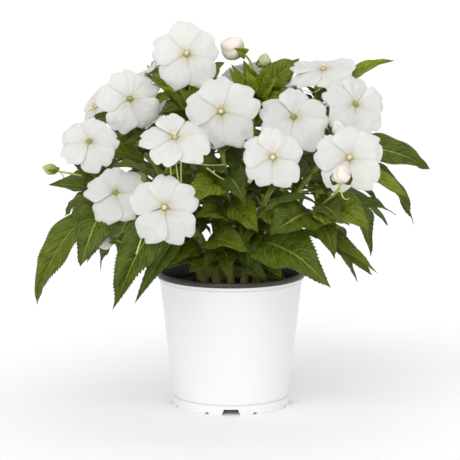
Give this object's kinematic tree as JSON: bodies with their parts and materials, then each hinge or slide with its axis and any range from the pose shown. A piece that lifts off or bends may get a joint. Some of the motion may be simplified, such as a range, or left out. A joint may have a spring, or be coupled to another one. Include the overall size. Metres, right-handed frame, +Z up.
{
  "type": "potted new guinea impatiens",
  "caption": "Bushy New Guinea impatiens with toothed pointed leaves and flat white five-petalled blooms, rooted in soil in a tapered nursery pot with a rolled rim",
  "frame": {"origin": "On the pot's axis, on the surface that the pot stands on, which is also the middle of the underside of the whole part's box.", "axes": "+Z up along the pot's axis; +X to the right of someone facing the fuller side of the plant, along its widest spread; +Y away from them, so the front of the plant faces -Y."},
  "size_m": [0.3716, 0.3047, 0.361],
  "materials": {
    "pot": "satin",
    "soil": "matte",
    "foliage": "satin",
    "petals": "matte",
    "bud_petals": "matte"
  },
  "bodies": {
    "root": {"pot": "pot", "soil": "soil", "leafy_stem_back_left": "foliage", "leafy_stem_back_middle": "foliage", "leafy_stem_back_right": "foliage", "leafy_stem_far_right": "foliage", "leafy_stem_front_left": "foliage", "leafy_stem_front_middle": "foliage", "leafy_stem_high_left": "foliage", "leafy_stem_high_right": "foliage", "leafy_stem_low_left": "foliage", "leafy_stem_low_right": "foliage", "leafy_stem_middle_right": "foliage", "leafy_stem_right": "foliage", "leafy_stem_top_left": "foliage", "leafy_stem_top_middle": "foliage", "bloom_back_left_high": "petals", "bloom_back_left_low": "petals", "bloom_back_middle_high": "petals", "bloom_back_right_high": "petals", "bloom_back_right_low": "petals", "bloom_far_right": "petals", "bloom_far_right_high": "petals", "bloom_front_left": "petals", "bloom_front_right": "petals", "bloom_inner_left": "petals", "bloom_left": "petals", "bloom_left_behind": "petals", "bloom_low_left": "petals", "bloom_middle": "petals", "bloom_peak": "petals", "bloom_right": "petals", "bloom_top_back": "petals", "bloom_top_behind": "petals", "bloom_top_right": "petals", "bloom_upper_left": "petals", "bloom_upper_right": "petals", "bud_back": "bud_petals", "bud_front_right": "bud_petals", "bud_inner_left": "bud_petals", "bud_large": "bud_petals", "bud_left": "bud_petals", "bud_low_left": "bud_petals", "bud_right": "bud_petals", "bud_small": "bud_petals"}
  },
  "joints": []
}
